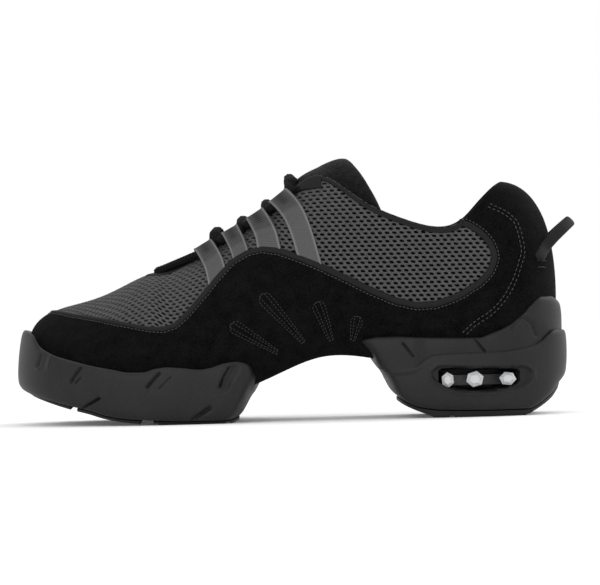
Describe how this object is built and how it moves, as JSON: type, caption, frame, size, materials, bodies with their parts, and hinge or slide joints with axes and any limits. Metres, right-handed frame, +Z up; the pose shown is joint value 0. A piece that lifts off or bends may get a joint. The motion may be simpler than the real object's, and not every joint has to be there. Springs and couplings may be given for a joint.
{
  "type": "split-sole dance sneaker",
  "caption": "Low lace-up dance sneaker, left shoe: mesh and suede upper, open arch between a heel unit with side windows and a forefoot sole, heel pull loop.",
  "frame": {"origin": "on the floor, under the middle of the heel tread's flat spot", "axes": "+Z up, toe towards -X, heel towards +X, outer side of the foot towards -Y"},
  "size_m": [0.2714, 0.1036, 0.1274],
  "materials": {
    "suede": "black suede with open knitted mesh panels",
    "rubber": "dark grey, satin",
    "tread": "near black, matte",
    "cloth": "black brushed cloth",
    "trim": "dark grey, smooth",
    "webbing": "mid grey ribbed webbing",
    "lace": "black, woven",
    "clear": "near white, glossy facets"
  },
  "bodies": {
    "root": {"upper": "suede", "forefoot_midsole": "rubber", "heel_midsole": "rubber", "pod_carrier_outer": "rubber", "pod_carrier_inner": "rubber", "heel_tread": "tread", "forefoot_tread_1": "tread", "forefoot_tread_2": "tread", "forefoot_tread_3": "tread", "tongue": "cloth", "insole": "cloth", "collar_band_outer": "trim", "collar_band_inner": "trim", "top_tab_outer": "trim", "top_tab_inner": "trim", "pull_loop": "trim", "lace_loop_outer_1": "webbing", "lace_loop_outer_2": "webbing", "lace_loop_outer_3": "webbing", "lace_loop_outer_4": "webbing", "lace_loop_inner_1": "webbing", "lace_loop_inner_2": "webbing", "lace_loop_inner_3": "webbing", "lace_loop_inner_4": "webbing", "laces": "lace", "pod_outer_1": "clear", "pod_outer_2": "clear", "pod_outer_3": "clear", "pod_inner_1": "clear", "pod_inner_2": "clear", "pod_inner_3": "clear"}
  },
  "joints": []
}
